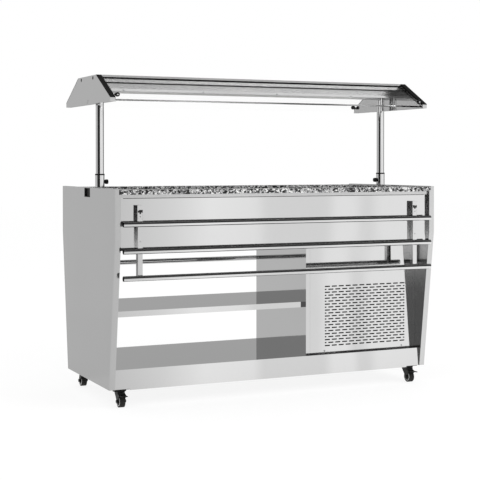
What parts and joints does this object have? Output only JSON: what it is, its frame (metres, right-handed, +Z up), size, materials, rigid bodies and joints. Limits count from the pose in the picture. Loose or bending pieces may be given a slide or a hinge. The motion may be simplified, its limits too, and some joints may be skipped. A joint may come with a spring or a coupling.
{
  "type": "mobile salad bar",
  "caption": "Wheeled refrigerated buffet counter with a speckled granite top, sunken cold well, open shelf bay, grilled cooling bay, folding tray slides and a glass canopy on posts",
  "frame": {"origin": "on the floor under the middle of the bar", "axes": "+X along the length towards the cooling bay, -Y towards the guest side seen in the picture, +Z up"},
  "size_m": [1.5112, 0.7916, 1.3716],
  "materials": {
    "satin_steel": "fine satin grain",
    "mirror_steel": "polished, mirror-like",
    "chrome_tube": "polished tube",
    "granite": "polished, speckled black, white and grey",
    "foam": "closed-cell foam",
    "copper": "bare copper tube",
    "alloy": "mill finish",
    "zinc": "zinc plated",
    "black_paint": "black paint",
    "black_plastic": "black moulded plastic",
    "tread": "black hard rubber",
    "diffuser": "opal",
    "clear_glass": "clear toughened glass"
  },
  "bodies": {
    "cabinet": {"left_end_panel": "satin_steel", "right_end_panel": "satin_steel", "inner_skins": "mirror_steel", "granite_top": "granite", "top_frame": "satin_steel", "front_apron": "mirror_steel", "rear_apron": "mirror_steel", "well_rim": "satin_steel", "cold_well": "mirror_steel", "well_insulation": "foam", "evaporator_coil": "copper", "divider_bars": "satin_steel", "drain_pipe": "satin_steel", "floor_tray": "satin_steel", "mid_shelf": "satin_steel", "partition": "mirror_steel", "grille_cover": "satin_steel", "rear_cover": "satin_steel", "machine_plate": "zinc", "compressor": "black_paint", "condenser": "alloy", "fan_motor": "black_paint", "refrigerant_lines": "copper", "power_inlet": "black_plastic", "end_pulls": "black_plastic", "slide_brackets": "mirror_steel", "slide_pins": "zinc", "caster_plates": "black_paint", "post_sockets": "chrome_tube", "collar_rings": "black_plastic"},
    "condenser_fan": {"fan_blades": "alloy"},
    "thermostat": {"thermostat_knob": "black_plastic"},
    "rocker": {"power_switch": "black_plastic"},
    "front_slide": {"front_slide_arms": "mirror_steel", "front_slide_rails": "chrome_tube"},
    "rear_slide": {"rear_slide_arms": "mirror_steel", "rear_slide_rails": "chrome_tube"},
    "swivel_front_left": {"fork_front_left": "black_paint"},
    "swivel_front_right": {"fork_front_right": "black_paint"},
    "swivel_rear_left": {"fork_rear_left": "black_paint"},
    "swivel_rear_right": {"fork_rear_right": "black_paint"},
    "roller_front_left": {"wheel_front_left": "tread"},
    "roller_front_right": {"wheel_front_right": "tread"},
    "roller_rear_left": {"wheel_rear_left": "tread"},
    "roller_rear_right": {"wheel_rear_right": "tread"},
    "brake_left": {"pedal_left": "black_paint"},
    "brake_right": {"pedal_right": "black_paint"},
    "screw_left": {"left_thumbscrew": "black_plastic"},
    "screw_right": {"right_thumbscrew": "black_plastic"},
    "canopy": {"canopy_posts": "chrome_tube", "left_end_plate": "satin_steel", "right_end_plate": "satin_steel", "end_plate_covers": "satin_steel", "canopy_housing": "satin_steel", "lamp_hood": "mirror_steel", "lamp_diffuser": "diffuser", "front_glass": "clear_glass", "rear_glass": "clear_glass", "edge_strips": "black_plastic", "glass_clamps": "black_plastic"}
  },
  "joints": [
    {"name": "canopy_lift", "type": "slide", "parent": "cabinet", "child": "canopy", "axis": [0, 0, 1], "range_m": [0, 0.05]},
    {"name": "front_slide_fold", "type": "hinge", "parent": "cabinet", "child": "front_slide", "pos_m": [0, -0.3648, 0.802], "axis": [-1, 0, 0], "range_deg": [0, 90]},
    {"name": "rear_slide_fold", "type": "hinge", "parent": "cabinet", "child": "rear_slide", "pos_m": [0, 0.3648, 0.802], "axis": [1, 0, 0], "range_deg": [0, 90]},
    {"name": "fan_spin", "type": "hinge", "parent": "cabinet", "child": "condenser_fan", "pos_m": [0.3753, -0.155, 0.2905], "axis": [0, 1, 0], "continuous": true},
    {"name": "thermostat_turn", "type": "hinge", "parent": "cabinet", "child": "thermostat", "pos_m": [0.2853, 0.2554, 0.5712], "axis": [0, 1, 0], "range_deg": [0, 300]},
    {"name": "rocker_tip", "type": "hinge", "parent": "cabinet", "child": "rocker", "pos_m": [0.3653, 0.255, 0.5712], "axis": [-1, 0, 0], "range_deg": [0, 20]},
    {"name": "screw_left_turn", "type": "hinge", "parent": "cabinet", "child": "screw_left", "pos_m": [-0.699, 0, 0.922], "axis": [1, 0, 0], "range_deg": [0, 360]},
    {"name": "screw_right_turn", "type": "hinge", "parent": "cabinet", "child": "screw_right", "pos_m": [0.699, 0, 0.922], "axis": [-1, 0, 0], "range_deg": [0, 360]},
    {"name": "swivel_front_left_turn", "type": "hinge", "parent": "cabinet", "child": "swivel_front_left", "pos_m": [-0.695, -0.242, 0.07], "axis": [0, 0, 1], "continuous": true},
    {"name": "wheel_front_left_roll", "type": "hinge", "parent": "swivel_front_left", "child": "roller_front_left", "pos_m": [-0.695, -0.262, 0.025], "axis": [1, 0, 0], "continuous": true},
    {"name": "swivel_front_right_turn", "type": "hinge", "parent": "cabinet", "child": "swivel_front_right", "pos_m": [0.695, -0.242, 0.07], "axis": [0, 0, 1], "continuous": true},
    {"name": "wheel_front_right_roll", "type": "hinge", "parent": "swivel_front_right", "child": "roller_front_right", "pos_m": [0.695, -0.262, 0.025], "axis": [1, 0, 0], "continuous": true},
    {"name": "swivel_rear_left_turn", "type": "hinge", "parent": "cabinet", "child": "swivel_rear_left", "pos_m": [-0.695, 0.242, 0.07], "axis": [0, 0, 1], "continuous": true},
    {"name": "wheel_rear_left_roll", "type": "hinge", "parent": "swivel_rear_left", "child": "roller_rear_left", "pos_m": [-0.695, 0.262, 0.025], "axis": [1, 0, 0], "continuous": true},
    {"name": "swivel_rear_right_turn", "type": "hinge", "parent": "cabinet", "child": "swivel_rear_right", "pos_m": [0.695, 0.242, 0.07], "axis": [0, 0, 1], "continuous": true},
    {"name": "wheel_rear_right_roll", "type": "hinge", "parent": "swivel_rear_right", "child": "roller_rear_right", "pos_m": [0.695, 0.262, 0.025], "axis": [1, 0, 0], "continuous": true},
    {"name": "brake_left_press", "type": "hinge", "parent": "swivel_front_left", "child": "brake_left", "pos_m": [-0.695, -0.28, 0.04875], "axis": [1, 0, 0], "range_deg": [0, 12]},
    {"name": "brake_right_press", "type": "hinge", "parent": "swivel_front_right", "child": "brake_right", "pos_m": [0.695, -0.28, 0.04875], "axis": [1, 0, 0], "range_deg": [0, 12]}
  ]
}
